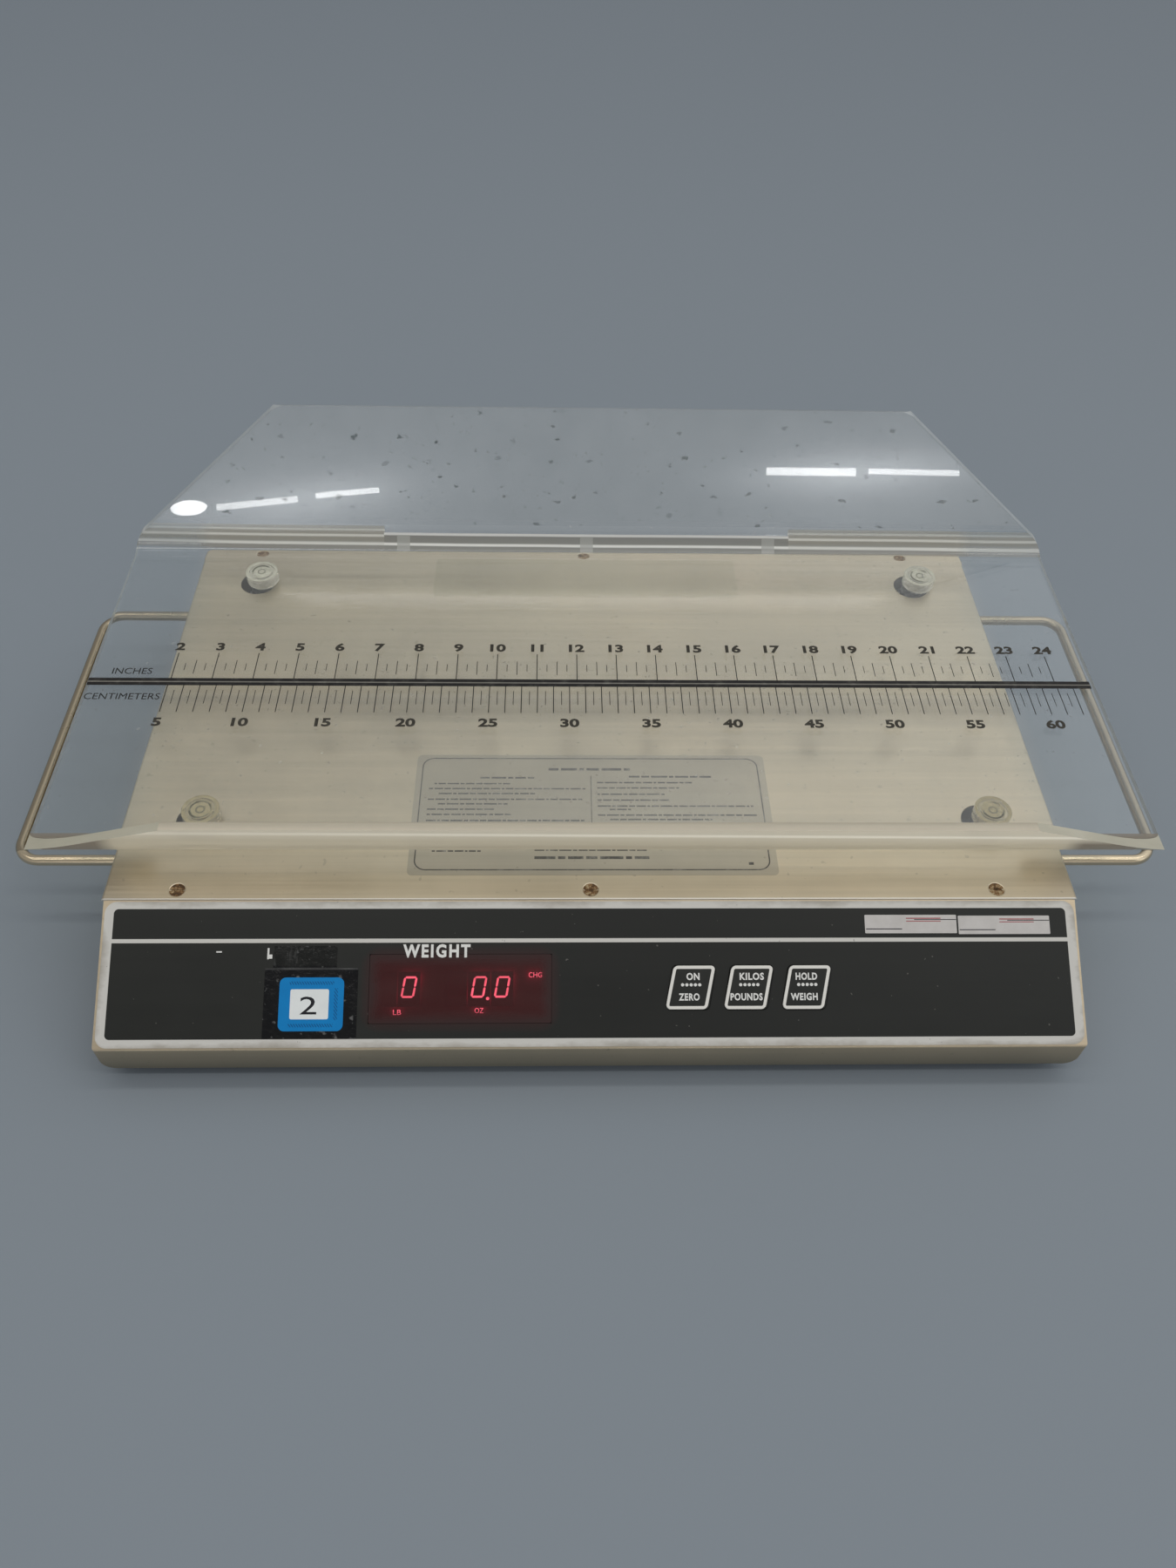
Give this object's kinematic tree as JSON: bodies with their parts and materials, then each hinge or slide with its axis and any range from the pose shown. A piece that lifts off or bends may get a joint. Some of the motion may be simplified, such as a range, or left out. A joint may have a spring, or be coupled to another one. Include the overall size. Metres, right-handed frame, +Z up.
{
  "type": "infant weighing scale",
  "caption": "Electronic infant scale: clear bent tray on four posts over a folded steel housing with a sloping control panel, red digits, three keys and two side handles.",
  "frame": {"origin": "on the table under the middle of the bounding box", "axes": "+Z up, -Y towards the person who reads the control panel, +X to that person's right"},
  "size_m": [0.6824, 0.404, 0.1721],
  "materials": {
    "housing_steel": "horizontally brushed stainless sheet",
    "rod_steel": "polished rod gone warm and dull",
    "screw_steel": "plated screws with brown rust",
    "zinc_steel": "zinc plated",
    "clear_acrylic": "clear polished sheet with fine scratches",
    "post_plastic": "clear moulded, slightly milky",
    "panel_film": "fine matt printed film, black with a white border",
    "key_film": "matt black embossed key with white print",
    "red_filter": "dark red transparent filter",
    "led_module": "dark moulded display body",
    "circuit_board": "green solder mask",
    "black_plastic": "moulded black",
    "foot_rubber": "moulded rubber",
    "cast_aluminium": "as cast and machined",
    "core_steel": "varnished laminations",
    "winding_tape": "yellow winding tape",
    "contact_brass": "bright"
  },
  "bodies": {
    "housing": {"base_pan": "housing_steel", "base_rail": "zinc_steel", "battery": "black_plastic", "battery_strap": "zinc_steel", "battery_tabs": "contact_brass", "board_capacitors": "black_plastic", "board_chips": "black_plastic", "board_screws": "zinc_steel", "board_standoffs": "contact_brass", "cell_bolts": "zinc_steel", "cell_mount_block": "cast_aluminium", "control_overlay": "panel_film", "core_screws": "zinc_steel", "deck_nuts": "zinc_steel", "deck_screws": "screw_steel", "display_board": "circuit_board", "display_digits": "led_module", "display_studs": "zinc_steel", "display_window": "red_filter", "foot_nuts": "zinc_steel", "foot_screws": "zinc_steel", "fuse_holder": "black_plastic", "handle_nuts": "zinc_steel", "handle_washers": "zinc_steel", "heat_sink": "cast_aluminium", "inlet_pins": "contact_brass", "inlet_screws": "zinc_steel", "key_board": "circuit_board", "key_studs": "zinc_steel", "left_handle": "rod_steel", "load_cell": "cast_aluminium", "main_board": "circuit_board", "overload_stops": "zinc_steel", "power_inlet": "black_plastic", "right_handle": "rod_steel", "rubber_feet": "foot_rubber", "stop_nuts": "zinc_steel", "strap_screws": "zinc_steel", "tact_switches": "black_plastic", "top_cover": "housing_steel", "transformer_coil": "winding_tape", "transformer_core": "core_steel", "unit_lamps": "led_module"},
    "platform": {"weighing_frame": "cast_aluminium", "platform_block": "cast_aluminium", "platform_bolts": "zinc_steel", "post_sockets": "black_plastic", "socket_screws": "zinc_steel"},
    "infant_tray": {"tray": "clear_acrylic", "tray_posts": "post_plastic", "post_pins": "zinc_steel"},
    "zero_key": {"key_zero": "key_film"},
    "units_key": {"key_units": "key_film"},
    "hold_key": {"key_hold": "key_film"}
  },
  "joints": [
    {"name": "platform_travel", "type": "slide", "parent": "housing", "child": "platform", "axis": [0, 0, 1], "range_m": [-0.0005, 0], "stiffness_N_per_m": 392000, "springref_m": 0.0002, "deforming": ["load_cell"]},
    {"name": "tray_lift", "type": "slide", "parent": "platform", "child": "infant_tray", "axis": [0, 0, 1], "range_m": [0, 0.045]},
    {"name": "zero_key_press", "type": "slide", "parent": "housing", "child": "zero_key", "axis": [0, 0.4827, -0.8758], "range_m": [0, 0.0005], "stiffness_N_per_m": 6000, "springref_m": -0.0002},
    {"name": "units_key_press", "type": "slide", "parent": "housing", "child": "units_key", "axis": [0, 0.4827, -0.8758], "range_m": [0, 0.0005], "stiffness_N_per_m": 6000, "springref_m": -0.0002},
    {"name": "hold_key_press", "type": "slide", "parent": "housing", "child": "hold_key", "axis": [0, 0.4827, -0.8758], "range_m": [0, 0.0005], "stiffness_N_per_m": 6000, "springref_m": -0.0002}
  ]
}
